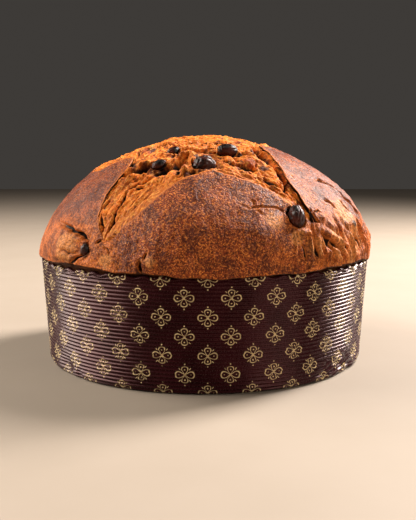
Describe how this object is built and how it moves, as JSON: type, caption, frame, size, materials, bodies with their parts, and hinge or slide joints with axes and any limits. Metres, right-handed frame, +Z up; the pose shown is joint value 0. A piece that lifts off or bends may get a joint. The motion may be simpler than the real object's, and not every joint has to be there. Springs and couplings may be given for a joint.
{
  "type": "panettone",
  "caption": "Low round panettone, its dark crust split by a cross over torn golden crumb with raisins, standing in a brown fluted paper case with a scalloped rim.",
  "frame": {"origin": "centre of the paper case's foot, on the surface it stands on", "axes": "+Z up through the middle of the dome, -Y towards the front, +X to the right seen from the front"},
  "size_m": [0.2125, 0.2124, 0.1426],
  "materials": {
    "paper": "satin",
    "bread": "matte",
    "raisin": "satin"
  },
  "bodies": {
    "root": {"paper_case": "paper", "bread": "bread", "raisin_front": "raisin", "raisin_middle": "raisin", "raisin_top": "raisin", "raisin_scorched": "raisin", "raisin_small": "raisin", "raisin_left": "raisin", "raisin_rear": "raisin", "raisin_rear_left": "raisin", "raisin_rear_right": "raisin"}
  },
  "joints": []
}
